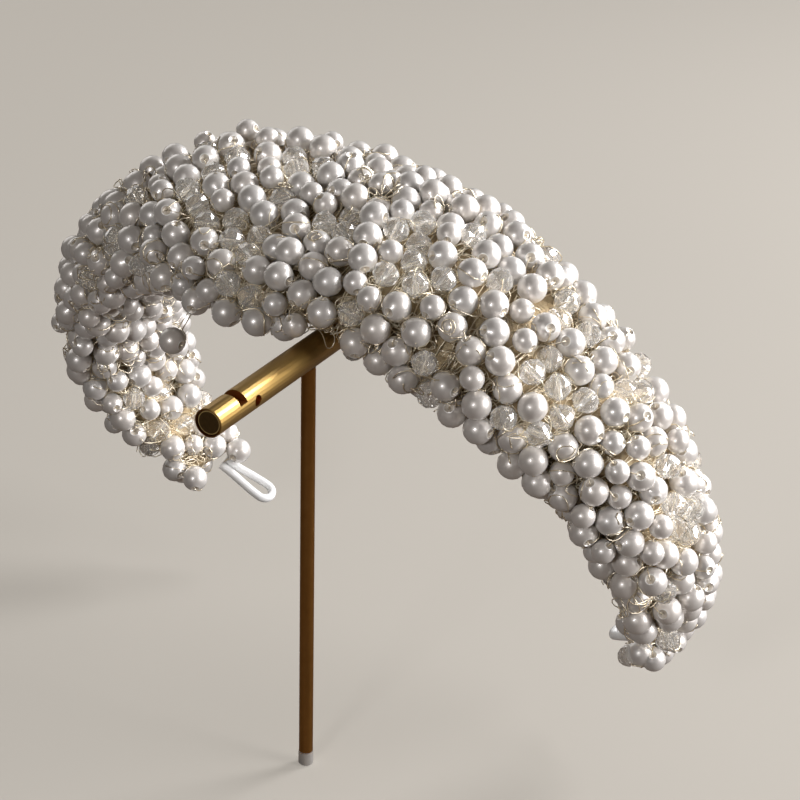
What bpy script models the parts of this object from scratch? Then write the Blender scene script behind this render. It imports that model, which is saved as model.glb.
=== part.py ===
# Pearl headband hung on a plain brass T-stand.
#
# The headband is a padded arch, wide and high at the crown and narrow at its two
# ends. A wire-bound core carries a net of twisted wire, and pearls are wired all
# over the net. A stiff loop for a hair pin stands out of each end. The crown hangs
# on a level brass tube, and a thin brass rod carries the tube.
#
# Metres, +Z up. The origin is the middle of the rod's foot, where the stand is
# held. The tube lies along Y, its front end towards -Y.

import math

import bmesh
import bpy
import numpy as np
from mathutils import Matrix, Vector

MM = 0.001
GAP = 0.3 * MM                    # clearance between pieces that touch

# The arch, from the middle of the crown to either end. Distances run along the
# middle line of the band, rises are measured from it to the tops of the pearls.
HALF_ARCH = 135.9 * MM
ARCH_COLUMNS = ("share", "heading_deg", "half_width_mm", "outer_rise_mm", "inner_rise_mm")
ARCH_TABLE = (
    (0.0, 0.0, 31.5, 12.4, 9.5),
    (0.2, 15.4, 26.4, 16.1, 10.2),
    (0.4, 41.3, 22.9, 15.8, 11.0),
    (0.6, 59.8, 19.2, 14.5, 10.6),
    (0.8, 94.7, 16.0, 10.2, 8.3),
    (1.0, 124.0, 10.5, 5.4, 5.5),
)
LEAN_DEG = -7.1                   # both arms turn by this much more, towards their ends
SET_BACK = 12.1 * MM              # how far behind the crown's middle the ends lie
SECTION_POWER = 2.12              # 2 is an ellipse, more is boxier
END_CAP = 4.7 * MM                # round end past the arch's last station

# How the headband sits on the tube.
SEAT_X = -13.7 * MM
SEAT_Y = 25.3 * MM
SEAT_RISE = 10.1 * MM             # middle of the crown above the top of the tube
SEAT_YAW_DEG = -9.7
SEAT_PITCH_DEG = 12.7
SEAT_TILT_DEG = -0.3

# Layers of the band, as depths below the tops of the pearls.
PEARL = 6.0 * MM
NET_DEPTH = 3.6 * MM
CORE_DEPTH = 7.5 * MM
NET_END = 2.2 * MM                # how far short of the band's end each layer stops
CORE_END = 4.0 * MM
NET_CAP = 3.4 * MM
CORE_CAP = 2.4 * MM
STATIONS = 13                     # sections from the crown to one end
AROUND = 16                       # corners of a section

# The main pearls, in rows across the band.
PEARL_SIDES = 10
PEARL_RINGS = 5
FIRST_ROW = 4.2 * MM
ROW_STEP = 13.6 * MM
ROW_PITCH = 14.6 * MM             # from pearl to pearl around a row
ROW_JITTER = 1.1 * MM
PEARL_SEED = 11

# Stiff loops at the two ends, white satin cord over wire.
LOOP_CORD = 2.0 * MM
LOOP_LENGTH = 14.2 * MM
LOOP_TIP = 2.1 * MM               # radius of the round tip, to the cord's middle line
LOOP_FOOT = 1.05 * MM             # half the distance between the two feet
LOOP_BACK = 3.0 * MM              # from the middle of the band's width to the feet
LOOP_LEAN_DEG = {-1: 17.0, 1: 38.0}  # how far the left and right loops lean in
LOOP_SWING_DEG = 9.0              # and how far both lean back
LOOP_TIP_POINTS = 13
LOOP_LEG_POINTS = 6

# The stand.
TUBE_AXIS_Z = 97.2 * MM
TUBE_RADIUS = 3.0 * MM
TUBE_FRONT = 37.1 * MM            # from the rod's axis to each end
TUBE_CHAMFER = 0.15 * MM
RECESS_RADIUS = 2.7 * MM
RECESS_DEPTH = 1.2 * MM
PLUG_SUNK = 0.35 * MM             # the plug's face lies this far inside the rim
SLOT_START = 7.3 * MM             # all three measured from the tube's front end
SLOT_WIDTH = 2.5 * MM
SLOT_FLOOR = 1.15 * MM            # above the tube's axis
CROSS_HOLE_AT = 13.3 * MM
CROSS_HOLE_RADIUS = 1.15 * MM
CROSS_HOLE_DEPTH = 1.6 * MM
ROD_RADIUS = 1.5 * MM
TIP_RADIUS = 1.6 * MM
TIP_HEIGHT = 3.0 * MM
TIP_CHAMFER = 0.3 * MM
TURNED_STEPS = 28

# Colour, roughness and metallic value of each finish.
FINISHES = {
    "pearl": ((0.88, 0.85, 0.80), 0.22, 0.0),
    "champagne_wire": ((0.66, 0.56, 0.40), 0.40, 0.9),
    "satin_cord": ((0.93, 0.93, 0.92), 0.45, 0.0),
    "brass": ((0.62, 0.44, 0.17), 0.28, 1.0),
    "dark_plug": ((0.06, 0.035, 0.015), 0.60, 0.0),
    "silver": ((0.75, 0.74, 0.70), 0.25, 1.0),
}


def clear_scene():
    for item in list(bpy.data.objects):
        bpy.data.objects.remove(item, do_unlink=True)


def new_collection(name):
    collection = bpy.data.collections.new(name)
    bpy.context.scene.collection.children.link(collection)
    return collection


def finish(name):
    material = bpy.data.materials.get(name)
    if material is None:
        colour, roughness, metallic = FINISHES[name]
        material = bpy.data.materials.new(name)
        material.use_nodes = True
        shader = material.node_tree.nodes["Principled BSDF"]
        shader.inputs["Base Color"].default_value = (*colour, 1.0)
        shader.inputs["Roughness"].default_value = roughness
        shader.inputs["Metallic"].default_value = metallic
    return material


def add_object(name, mesh, collection, finish_name=None, parent=None):
    item = bpy.data.objects.new(name, mesh)
    collection.objects.link(item)
    if finish_name:
        item.data.materials.append(finish(finish_name))
    item.parent = parent
    return item


def mark_cutter(item):
    item.hide_render = True
    item.display_type = "WIRE"
    return item


def shade_round(mesh, sharp_deg=35.0):
    mesh.shade_smooth()
    mesh.set_sharp_from_angle(angle=math.radians(sharp_deg))


# The form of the band

def arch_column(name, share, flat_start=True):
    # A smooth curve through one column of the table, level at the crown.
    stations = np.array([row[0] for row in ARCH_TABLE])
    values = np.array([row[ARCH_COLUMNS.index(name)] for row in ARCH_TABLE])
    steps = np.diff(stations)
    slopes = np.diff(values) / steps
    tangents = np.empty(len(stations))
    tangents[1:-1] = (slopes[:-1] * steps[1:] + slopes[1:] * steps[:-1]) / (steps[1:] + steps[:-1])
    tangents[0] = 0.0 if flat_start else slopes[0]
    tangents[-1] = slopes[-1]
    at = min(int(np.searchsorted(stations, share, side="right")) - 1, len(steps) - 1)
    step = steps[at]
    t = (share - stations[at]) / step
    return float(
        (2 * t**3 - 3 * t**2 + 1) * values[at]
        + (t**3 - 2 * t**2 + t) * step * tangents[at]
        + (3 * t**2 - 2 * t**3) * values[at + 1]
        + (t**3 - t**2) * step * tangents[at + 1]
    )


def heading(distance):
    # The band's direction in radians, positive where it turns down to the right.
    share = min(abs(distance) / HALF_ARCH, 1.0)
    turn = arch_column("heading_deg", share, flat_start=False)
    return math.radians(math.copysign(turn, distance) + LEAN_DEG * share**2)


def middle_line(steps_per_mm=2):
    # Points of the middle line at even distances, found by adding up short steps.
    reach = HALF_ARCH + END_CAP
    count = int(reach / MM) * steps_per_mm
    half = np.linspace(0.0, reach, count + 1)
    sides = []
    for sign in (-1.0, 1.0):
        x, z = 0.0, 0.0
        points = [(x, z)]
        for start, end in zip(half[:-1], half[1:]):
            angle = heading(sign * (start + end) / 2)
            x += sign * math.cos(angle) * (end - start)
            z -= sign * math.sin(angle) * (end - start)
            points.append((x, z))
        sides.append(points)
    line = sides[0][:0:-1] + sides[1]
    distances = np.concatenate((-half[:0:-1], half))
    return distances, np.array(line)


LINE_DISTANCES, LINE_POINTS = middle_line()


def section_frame(distance):
    # Middle, outward direction and side direction of the section at a distance.
    x = float(np.interp(distance, LINE_DISTANCES, LINE_POINTS[:, 0]))
    z = float(np.interp(distance, LINE_DISTANCES, LINE_POINTS[:, 1]))
    share = min(abs(distance) / HALF_ARCH, 1.0)
    angle = heading(distance)
    middle = Vector((x, SET_BACK * share**2, z))
    outward = Vector((math.sin(angle), 0.0, math.cos(angle)))
    return middle, outward, Vector((0.0, 1.0, 0.0))


def remaining(size, depth):
    # What is left of a half size below a depth: thin ends keep a little material.
    return size - depth * (1.0 - math.exp(-size / depth)) if depth > 0 else size


def layer_sizes(distance, depth, stop_short, cap, extra=0.0):
    # Half width, outer rise and inner rise of a layer, closing in a round cap.
    share = min(abs(distance) / HALF_ARCH, 1.0)
    end = HALF_ARCH + END_CAP - stop_short
    past = max(0.0, (abs(distance) - (end - cap)) / cap)
    closing = math.sqrt(max(0.0, 1.0 - min(past, 1.0) ** 2))
    names = ("half_width_mm", "outer_rise_mm", "inner_rise_mm")
    return [(remaining(arch_column(name, share) * MM, depth) + extra) * closing for name in names]


def section_point(distance, angle, sizes):
    # A point of the rounded section; angle 90 degrees is its outer side.
    middle, outward, side = section_frame(distance)
    half_width, outer_rise, inner_rise = sizes
    power = 2.0 / SECTION_POWER
    across = math.copysign(abs(math.cos(angle)) ** power, math.cos(angle))
    up = math.copysign(abs(math.sin(angle)) ** power, math.sin(angle))
    rise = outer_rise if up > 0 else inner_rise
    return middle + side * (half_width * across) + outward * (rise * up)


def layer_stations(start, stop_short, cap):
    # Distances of a layer's sections: even along the arm, closer in the round cap.
    end = HALF_ARCH + END_CAP - stop_short
    arm = [start + (end - cap - start) * i / (STATIONS - 1) for i in range(STATIONS)]
    return arm + [end - cap + cap * math.sin(math.radians(part)) for part in (35, 62, 90)]


def loft_layer(distances, depth, stop_short, cap, extra=0.0):
    # Closed body through the sections; a section of no size becomes one point.
    bm = bmesh.new()
    rings = []
    for distance in distances:
        sizes = layer_sizes(distance, depth, stop_short, cap, extra)
        if max(sizes) < 1e-6:
            rings.append([bm.verts.new(section_frame(distance)[0])])
            continue
        angles = [2 * math.pi * i / AROUND for i in range(AROUND)]
        rings.append([bm.verts.new(section_point(distance, angle, sizes)) for angle in angles])
    for ring, following in zip(rings[:-1], rings[1:]):
        for i in range(AROUND):
            j = (i + 1) % AROUND
            corners = [ring[i % len(ring)], ring[j % len(ring)]]
            corners += [following[j % len(following)], following[i % len(following)]]
            bm.faces.new(list(dict.fromkeys(corners)))
    for ring in (rings[0], rings[-1]):
        if len(ring) > 1:
            bm.faces.new(ring)
    bmesh.ops.recalc_face_normals(bm, faces=bm.faces)
    bmesh.ops.triangulate(bm, faces=bm.faces)
    mesh = bpy.data.meshes.new("layer")
    bm.to_mesh(mesh)
    bm.free()
    return mesh


def girth_points(distance, depth, samples=96):
    # Points all round a section, with the length along it up to each.
    sizes = layer_sizes(distance, depth, 0.0, END_CAP)
    angles = [2 * math.pi * i / samples for i in range(samples + 1)]
    points = [section_point(distance, angle, sizes) for angle in angles]
    lengths = [0.0]
    for first, second in zip(points[:-1], points[1:]):
        lengths.append(lengths[-1] + (second - first).length)
    return angles, lengths


def main_pearls(seat):
    # Centres of the main pearls, in staggered rows across the band, clear of the tube.
    random = np.random.default_rng(PEARL_SEED)
    depth = PEARL / 2
    last = HALF_ARCH - PEARL / 2
    rows = int((last - FIRST_ROW) / ROW_STEP) + 1
    centres = {-1: [], 1: []}
    for sign in (-1, 1):
        for row in range(rows):
            distance = sign * (FIRST_ROW + (last - FIRST_ROW) * row / (rows - 1))
            angles, lengths = girth_points(distance, depth)
            count = max(3, round(lengths[-1] / ROW_PITCH))
            for i in range(count):
                along, across = random.uniform(-ROW_JITTER, ROW_JITTER, 2)
                if row == 0:
                    along = 0.0
                place = (lengths[-1] * (i + 0.5 * (row % 2)) / count + across) % lengths[-1]
                angle = float(np.interp(place, lengths, angles))
                spot = distance + along
                sizes = layer_sizes(spot, depth, 0.0, END_CAP)
                centre = section_point(spot, angle, sizes)
                if tube_clearance(seat @ centre) > PEARL / 2 + GAP:
                    centres[sign].append(centre)
    return centres


def tube_clearance(point):
    # Distance from a point to the surface of the stand's tube.
    along = max(-TUBE_FRONT, min(TUBE_FRONT, point.y))
    return (point - Vector((0.0, along, TUBE_AXIS_Z))).length - TUBE_RADIUS


# The headband's pieces

def seat_matrix():
    height = TUBE_AXIS_Z + TUBE_RADIUS + SEAT_RISE
    turn = Matrix.Rotation(math.radians(SEAT_YAW_DEG), 4, "Z")
    turn @= Matrix.Rotation(math.radians(SEAT_PITCH_DEG), 4, "X")
    turn @= Matrix.Rotation(math.radians(SEAT_TILT_DEG), 4, "Y")
    return Matrix.Translation((SEAT_X, SEAT_Y, height)) @ turn


def build_core(collection, seat):
    arm = layer_stations(0.0, CORE_END, CORE_CAP)
    distances = [-d for d in arm[:0:-1]] + arm
    mesh = loft_layer(distances, CORE_DEPTH, CORE_END, CORE_CAP)
    shade_round(mesh)
    return add_object("band_core", mesh, collection, "champagne_wire", seat)


def build_core_room(collection, seat):
    # Room for the core inside the net, with the gap all round.
    stop_short = CORE_END - GAP
    arm = layer_stations(0.0, stop_short, CORE_CAP)
    distances = [-d for d in arm[:0:-1]] + arm
    mesh = loft_layer(distances, CORE_DEPTH, stop_short, CORE_CAP, extra=GAP)
    return mark_cutter(add_object("core_room", mesh, collection, parent=seat))


def build_pearls(name, centres, collection, seat):
    bm = bmesh.new()
    for centre in centres:
        bmesh.ops.create_uvsphere(
            bm,
            u_segments=PEARL_SIDES,
            v_segments=PEARL_RINGS,
            radius=PEARL / 2,
            matrix=Matrix.Translation(centre),
        )
    mesh = bpy.data.meshes.new(name)
    bm.to_mesh(mesh)
    bm.free()
    return mark_cutter(add_object(name, mesh, collection, parent=seat))


def add_boolean(item, other, operation):
    modifier = item.modifiers.new(f"{operation.lower()} {other.name}", "BOOLEAN")
    modifier.operation = operation
    modifier.object = other
    modifier.solver = "EXACT"
    return modifier


def build_pearl_field(side, sign, centres, core_room, collection, cutters, seat):
    start = GAP / 2
    arm = layer_stations(start, NET_END, NET_CAP)
    mesh = loft_layer([sign * d for d in arm], NET_DEPTH, NET_END, NET_CAP)
    shade_round(mesh)
    field = add_object(f"pearl_field_{side}", mesh, collection, "pearl", seat)
    pearls = build_pearls(f"main_pearls_{side}", centres, cutters, seat)
    add_boolean(field, pearls, "UNION")
    add_boolean(field, core_room, "DIFFERENCE")
    return field


def loop_route(sign):
    # The loop leaves the net's round end, turns round its tip and comes back.
    half_width = layer_sizes(HALF_ARCH, NET_DEPTH, 0.0, END_CAP)[0]
    fall = NET_CAP * (1.0 - math.sqrt(1.0 - (LOOP_BACK / half_width) ** 2))
    end = sign * (HALF_ARCH + END_CAP - NET_END - fall)
    middle, _, back = section_frame(end)
    lean = math.radians(LOOP_LEAN_DEG[sign])
    swing = math.radians(LOOP_SWING_DEG)
    angle = heading(end) + sign * lean
    forward = Vector((math.cos(angle), 0.0, -math.sin(angle))) * (sign * math.cos(swing))
    forward += back * math.sin(swing)
    side = (back - forward * back.dot(forward)).normalized()
    # the feet's nearest edges clear the net by the gap
    clear = (GAP + LOOP_CORD / 2 * math.sin(lean)) / math.cos(lean)
    start = middle + back * LOOP_BACK + forward * clear
    # the legs open out like a needle's eye up to the tip's half circle
    reach = LOOP_LENGTH - LOOP_TIP
    bends = np.linspace(-math.pi / 2, math.pi / 2, LOOP_TIP_POINTS)
    outline = [(reach + LOOP_TIP * math.cos(bend), LOOP_TIP * math.sin(bend)) for bend in bends]
    steps = [i / LOOP_LEG_POINTS for i in range(LOOP_LEG_POINTS)]
    opening = [(3.0 - 2.0 * step) * step * step for step in steps]
    leg = [
        (reach * step, -LOOP_FOOT - (LOOP_TIP - LOOP_FOOT) * opened)
        for step, opened in zip(steps, opening)
    ]
    outline = leg + outline + [(x, -y) for x, y in reversed(leg)]
    return [start + forward * x + side * y for x, y in outline]


def build_end_loop(side, sign, collection, seat):
    curve = bpy.data.curves.new(f"end_loop_{side}", "CURVE")
    curve.dimensions = "3D"
    curve.bevel_depth = LOOP_CORD / 2
    curve.bevel_resolution = 2
    curve.use_fill_caps = True
    spline = curve.splines.new("POLY")
    points = loop_route(sign)
    spline.points.add(len(points) - 1)
    for spot, point in zip(spline.points, points):
        spot.co = (*point, 1.0)
    return add_object(f"end_loop_{side}", curve, collection, "satin_cord", seat)


# The stand's pieces

def turned(name, profile, collection, finish_name, steps=TURNED_STEPS):
    # A solid of revolution about its own Z, from (radius, height) points, top first.
    mesh = bpy.data.meshes.new(name)
    edges = [(i, i + 1) for i in range(len(profile) - 1)]
    mesh.from_pydata([(radius, 0.0, height) for radius, height in profile], edges, [])
    item = add_object(name, mesh, collection, finish_name)
    screw = item.modifiers.new("turn", "SCREW")
    screw.steps = steps
    screw.render_steps = steps
    screw.use_merge_vertices = True
    screw.merge_threshold = 0.00001
    screw.use_smooth_shade = False
    return item


def box_cutter(name, size, location, collection):
    bm = bmesh.new()
    bmesh.ops.create_cube(bm, size=1.0)
    bmesh.ops.scale(bm, vec=size, verts=bm.verts)
    mesh = bpy.data.meshes.new(name)
    bm.to_mesh(mesh)
    bm.free()
    item = mark_cutter(add_object(name, mesh, collection))
    item.location = location
    return item


def rod_cutter(name, radius, length, location, rotation, collection, segments=24):
    bm = bmesh.new()
    bmesh.ops.create_cone(
        bm, cap_ends=True, segments=segments, radius1=radius, radius2=radius, depth=length
    )
    mesh = bpy.data.meshes.new(name)
    bm.to_mesh(mesh)
    bm.free()
    item = mark_cutter(add_object(name, mesh, collection))
    item.location = location
    item.rotation_euler = rotation
    return item


def build_tube(collection, cutters):
    half = TUBE_FRONT
    floor = half - RECESS_DEPTH
    profile = [
        (0.0, floor),
        (RECESS_RADIUS, floor),
        (RECESS_RADIUS, half),
        (TUBE_RADIUS - TUBE_CHAMFER, half),
        (TUBE_RADIUS, half - TUBE_CHAMFER),
        (TUBE_RADIUS, TUBE_CHAMFER - half),
        (TUBE_RADIUS - TUBE_CHAMFER, -half),
        (RECESS_RADIUS, -half),
        (RECESS_RADIUS, -floor),
        (0.0, -floor),
    ]
    tube = turned("stand_tube", profile, collection, "brass")
    tube.location = (0.0, 0.0, TUBE_AXIS_Z)
    tube.rotation_euler = (math.radians(90.0), 0.0, 0.0)
    slot_height = 2 * TUBE_RADIUS
    slot = box_cutter(
        "slot",
        (4 * TUBE_RADIUS, SLOT_WIDTH, slot_height),
        (0.0, SLOT_START + SLOT_WIDTH / 2 - half, TUBE_AXIS_Z + SLOT_FLOOR + slot_height / 2),
        cutters,
    )
    hole = rod_cutter(
        "cross_hole",
        CROSS_HOLE_RADIUS,
        2 * CROSS_HOLE_DEPTH,
        (TUBE_RADIUS, CROSS_HOLE_AT - half, TUBE_AXIS_Z),
        (0.0, math.radians(90.0), 0.0),
        cutters,
    )
    add_boolean(tube, slot, "DIFFERENCE")
    add_boolean(tube, hole, "DIFFERENCE")
    return tube


def build_plug(side, sign, collection):
    # A dark disc inside each end of the tube, its face sunk below the rim.
    radius = RECESS_RADIUS - GAP
    length = RECESS_DEPTH - PLUG_SUNK - GAP
    profile = [(0.0, length / 2), (radius, length / 2), (radius, -length / 2), (0.0, -length / 2)]
    plug = turned(f"tube_plug_{side}", profile, collection, "dark_plug")
    middle = TUBE_FRONT - PLUG_SUNK - length / 2
    plug.location = (0.0, sign * middle, TUBE_AXIS_Z)
    plug.rotation_euler = (math.radians(90.0), 0.0, 0.0)
    return plug


def build_rod(collection, cutters):
    # The rod's top is hollowed to follow the tube.
    bottom = TIP_HEIGHT + GAP
    top = TUBE_AXIS_Z - TUBE_RADIUS / 2
    profile = [(0.0, top), (ROD_RADIUS, top), (ROD_RADIUS, bottom), (0.0, bottom)]
    rod = turned("stand_rod", profile, collection, "brass")
    saddle = rod_cutter(
        "saddle",
        TUBE_RADIUS + GAP,
        8 * ROD_RADIUS,
        (0.0, 0.0, TUBE_AXIS_Z),
        (math.radians(90.0), 0.0, 0.0),
        cutters,
        segments=48,
    )
    add_boolean(rod, saddle, "DIFFERENCE")
    return rod


def build_tip(collection):
    profile = [
        (0.0, TIP_HEIGHT),
        (TIP_RADIUS, TIP_HEIGHT),
        (TIP_RADIUS, TIP_CHAMFER),
        (TIP_RADIUS - TIP_CHAMFER, 0.0),
        (0.0, 0.0),
    ]
    return turned("rod_tip", profile, collection, "silver")


def main():
    clear_scene()
    parts = new_collection("pearl_headband")
    cutters = new_collection("cutters")

    seat = bpy.data.objects.new("headband_seat", None)
    parts.objects.link(seat)
    seat.matrix_world = seat_matrix()
    bpy.context.view_layer.update()

    build_core(parts, seat)
    core_room = build_core_room(cutters, seat)
    centres = main_pearls(seat.matrix_world)
    for side, sign in (("left", -1), ("right", 1)):
        build_pearl_field(side, sign, centres[sign], core_room, parts, cutters, seat)
        build_end_loop(side, sign, parts, seat)

    build_tube(parts, cutters)
    build_plug("front", -1, parts)
    build_plug("back", 1, parts)
    build_rod(parts, cutters)
    build_tip(parts)
    bpy.context.view_layer.update()


main()
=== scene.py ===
import math

import bpy
import numpy as np
from mathutils import Matrix, Vector


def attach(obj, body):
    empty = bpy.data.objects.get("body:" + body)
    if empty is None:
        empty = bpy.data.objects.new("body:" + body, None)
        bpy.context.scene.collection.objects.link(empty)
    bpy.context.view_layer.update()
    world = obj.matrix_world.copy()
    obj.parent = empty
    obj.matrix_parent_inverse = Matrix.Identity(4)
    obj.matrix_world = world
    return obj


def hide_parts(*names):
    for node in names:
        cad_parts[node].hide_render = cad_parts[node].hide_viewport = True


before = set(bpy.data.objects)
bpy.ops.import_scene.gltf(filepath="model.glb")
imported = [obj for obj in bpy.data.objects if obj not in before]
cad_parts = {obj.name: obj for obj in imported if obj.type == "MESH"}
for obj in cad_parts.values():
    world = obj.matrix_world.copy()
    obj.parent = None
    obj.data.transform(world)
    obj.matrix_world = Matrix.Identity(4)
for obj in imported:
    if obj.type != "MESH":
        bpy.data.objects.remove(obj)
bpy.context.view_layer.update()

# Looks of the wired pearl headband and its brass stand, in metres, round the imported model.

mm = 0.001


# Camera

view = {
    "azimuthDeg": 28.271,
    "elevationDeg": 25.73,
    "rollDeg": 1.375,
    "lens": 116.1,
    "sensor": 36.0,
    "distance": 530.73 * mm,
    "aim": (0.0, 0.0, 60.0 * mm),
    "aimPixel": (307.49, 517.44),  # where the aim shows in the 800 pixel frame
    "frame": 800.0,
    "clip": (0.01, 20.0),
}


def addObject(name, data):
    thing = bpy.data.objects.new(name, data)
    bpy.context.scene.collection.objects.link(thing)
    return thing


def wayFrom(azimuthDeg, elevationDeg):
    # from the object towards the camera or a lamp; azimuth 0 is straight in front
    azimuth, elevation = math.radians(azimuthDeg), math.radians(elevationDeg)
    level = math.cos(elevation)
    return Vector((math.sin(azimuth) * level, -math.cos(azimuth) * level, math.sin(elevation)))


def viewAxes():
    azimuth, roll = math.radians(view["azimuthDeg"]), math.radians(view["rollDeg"])
    back = wayFrom(view["azimuthDeg"], view["elevationDeg"])
    flatRight = Vector((math.cos(azimuth), math.sin(azimuth), 0.0))
    flatUp = back.cross(flatRight)
    right = flatRight * math.cos(roll) + flatUp * math.sin(roll)
    up = flatUp * math.cos(roll) - flatRight * math.sin(roll)
    return right, up, back


def addCamera():
    right, up, back = viewAxes()
    half = view["frame"] / 2
    focal = view["lens"] / view["sensor"] * view["frame"]
    across, down = ((pixel - half) / focal * view["distance"] for pixel in view["aimPixel"])
    data = bpy.data.cameras.new("camera")
    data.lens = view["lens"]
    data.sensor_width = view["sensor"]
    data.clip_start, data.clip_end = view["clip"]
    camera = addObject("camera", data)
    place = Vector(view["aim"]) + back * view["distance"] - right * across + up * down
    turn = Matrix((right, up, back)).transposed().to_4x4()
    camera.matrix_world = Matrix.Translation(place) @ turn
    bpy.context.scene.camera = camera


addCamera()
print("camera set")


# The band's form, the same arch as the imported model's

band = {
    "halfArch": 135.9 * mm,  # from the middle of the crown to either end
    "leanDeg": -7.1,
    "setBack": 12.1 * mm,
    "sectionPower": 2.12,
    "endCap": 4.7 * mm,
    "seatPlace": (-13.7 * mm, 25.3 * mm, 110.3 * mm),
    "seatYawDeg": -9.7,
    "seatPitchDeg": 12.7,
    "seatTiltDeg": -0.3,
    "columns": ("share", "headingDeg", "halfWidth", "outerRise", "innerRise"),
    "stations": (
        (0.0, 0.0, 31.5, 12.4, 9.5),
        (0.2, 15.4, 26.4, 16.1, 10.2),
        (0.4, 41.3, 22.9, 15.8, 11.0),
        (0.6, 59.8, 19.2, 14.5, 10.6),
        (0.8, 94.7, 16.0, 10.2, 8.3),
        (1.0, 124.0, 10.5, 5.4, 5.5),
    ),
}


def archColumn(name, share, flatStart=True):
    # a smooth curve through one column of the table
    rows = np.array(band["stations"])
    stations, values = rows[:, 0], rows[:, band["columns"].index(name)]
    steps = np.diff(stations)
    slopes = np.diff(values) / steps
    tangents = np.empty(len(stations))
    tangents[1:-1] = (slopes[:-1] * steps[1:] + slopes[1:] * steps[:-1]) / (steps[1:] + steps[:-1])
    tangents[0] = 0.0 if flatStart else slopes[0]
    tangents[-1] = slopes[-1]
    at = np.clip(np.searchsorted(stations, share, side="right") - 1, 0, len(steps) - 1)
    step = steps[at]
    t = (share - stations[at]) / step
    return (
        (2 * t**3 - 3 * t**2 + 1) * values[at]
        + (t**3 - 2 * t**2 + t) * step * tangents[at]
        + (3 * t**2 - 2 * t**3) * values[at + 1]
        + (t**3 - t**2) * step * tangents[at + 1]
    )


def shareOf(along):
    return np.clip(np.abs(along) / band["halfArch"], 0.0, 1.0)


def heading(along):
    share = shareOf(along)
    turn = archColumn("headingDeg", share, flatStart=False)
    return np.radians(np.copysign(turn, along) + band["leanDeg"] * share**2)


def middleLine():
    reach = band["halfArch"] + band["endCap"]
    steps = np.linspace(0.0, reach, 2 * int(reach / mm) + 1)
    sides = []
    for sign in (-1.0, 1.0):
        turn = heading(sign * (steps[1:] + steps[:-1]) / 2)
        x = np.concatenate(([0.0], np.cumsum(sign * np.cos(turn) * np.diff(steps))))
        z = np.concatenate(([0.0], np.cumsum(-sign * np.sin(turn) * np.diff(steps))))
        sides.append((x, z))
    (leftX, leftZ), (rightX, rightZ) = sides
    along = np.concatenate((-steps[:0:-1], steps))
    return along, np.concatenate((leftX[:0:-1], rightX)), np.concatenate((leftZ[:0:-1], rightZ))


middleAlong, middleX, middleZ = middleLine()


def seatTurn():
    turn = Matrix.Rotation(math.radians(band["seatYawDeg"]), 3, "Z")
    turn = turn @ Matrix.Rotation(math.radians(band["seatPitchDeg"]), 3, "X")
    return np.array(turn @ Matrix.Rotation(math.radians(band["seatTiltDeg"]), 3, "Y"))


seatAxes = seatTurn()


def seated(points):
    return points @ seatAxes.T + np.array(band["seatPlace"])


def bandPoint(along, around, depth):
    # points at a depth below the tops of the beads; around is 90 degrees on the outer side
    along, around, depth = np.broadcast_arrays(*map(np.asarray, (along, around, depth)))
    share, turn = shareOf(along), heading(along)
    past = np.clip((np.abs(along) - band["halfArch"]) / band["endCap"], 0.0, 1.0)
    closing = np.sqrt(1.0 - past**2)
    sizes = []
    for name in ("halfWidth", "outerRise", "innerRise"):
        size = archColumn(name, share) * mm
        deep = np.maximum(depth, 1e-6)
        sizes.append((size - deep * (1.0 - np.exp(-size / deep)) - np.minimum(depth, 0.0)) * closing)
    halfWidth, outerRise, innerRise = sizes
    power = 2.0 / band["sectionPower"]
    across = np.copysign(np.abs(np.cos(around)) ** power, np.cos(around)) * halfWidth
    up = np.copysign(np.abs(np.sin(around)) ** power, np.sin(around))
    rise = np.where(up > 0, outerRise, innerRise) * up
    x = np.interp(along, middleAlong, middleX) + np.sin(turn) * rise
    z = np.interp(along, middleAlong, middleZ) + np.cos(turn) * rise
    return seated(np.stack((x, band["setBack"] * share**2 + across, z), axis=-1))


def bandAxes(along, around, depth):
    # how the point moves along the band, round it and outward, per unit of each
    small = 0.05 * mm
    turn = 0.004
    alongWay = bandPoint(along + small, around, depth) - bandPoint(along - small, around, depth)
    aroundWay = bandPoint(along, around + turn, depth) - bandPoint(along, around - turn, depth)
    alongWay, aroundWay = alongWay / (2 * small), aroundWay / (2 * turn)
    outward = unit(np.cross(aroundWay, alongWay))
    middle = bandPoint(along, around + np.pi, depth)
    away = bandPoint(along, around, depth) - middle
    outward *= np.sign((outward * away).sum(-1, keepdims=True) + 1e-12)
    return alongWay, aroundWay, outward


def unit(vectors):
    length = np.linalg.norm(vectors, axis=-1, keepdims=True)
    return vectors / np.maximum(length, 1e-12)


# Where the beads go

beads = {
    "seed": 23,
    "large": 6.0 * mm,
    "small": 5.0 * mm,
    "crystal": 5.6 * mm,
    "gap": 0.08 * mm,
    "crownSpacing": 6.4 * mm,
    "armSpacing": 6.3 * mm,
    "armsFrom": 0.55,  # share of the half arch from which the arms' spacing holds
    "rowHeight": 0.866,  # between rows of a close packing, in spacings
    "pearlDepth": (-0.9 * mm, 1.5 * mm),  # from the band's outer form to the tops of the beads
    "crystalDepth": (-0.1 * mm, 1.9 * mm),
    "lowerDepth": (0.9 * mm, 3.2 * mm),  # the same for the beads in the gaps
    "lowerOverlap": 0.35 * mm,
    "smallShare": 0.34,
    "lowerSmallShare": 0.6,
    "strayCrystals": 0.07,
    "lowerCrystals": 0.66,
    "grid": (420, 120),  # spots to draw from, along the band and round it
    "spotShift": 0.05,
    "settleRounds": 60,
    "settleReach": 1.04,  # in spacings, how near beads push each other
    "settleStep": 0.3,
    "settleEnd": 0.3 * mm,  # past the half arch
    "partRounds": 50,
    "partStep": 0.35,
    "partEnd": 0.8 * mm,
    "fillTries": 12000,
    "holeTipDeg": 26.0,
    "wildShare": 0.16,  # of beads whose hole lies any way
}

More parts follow.
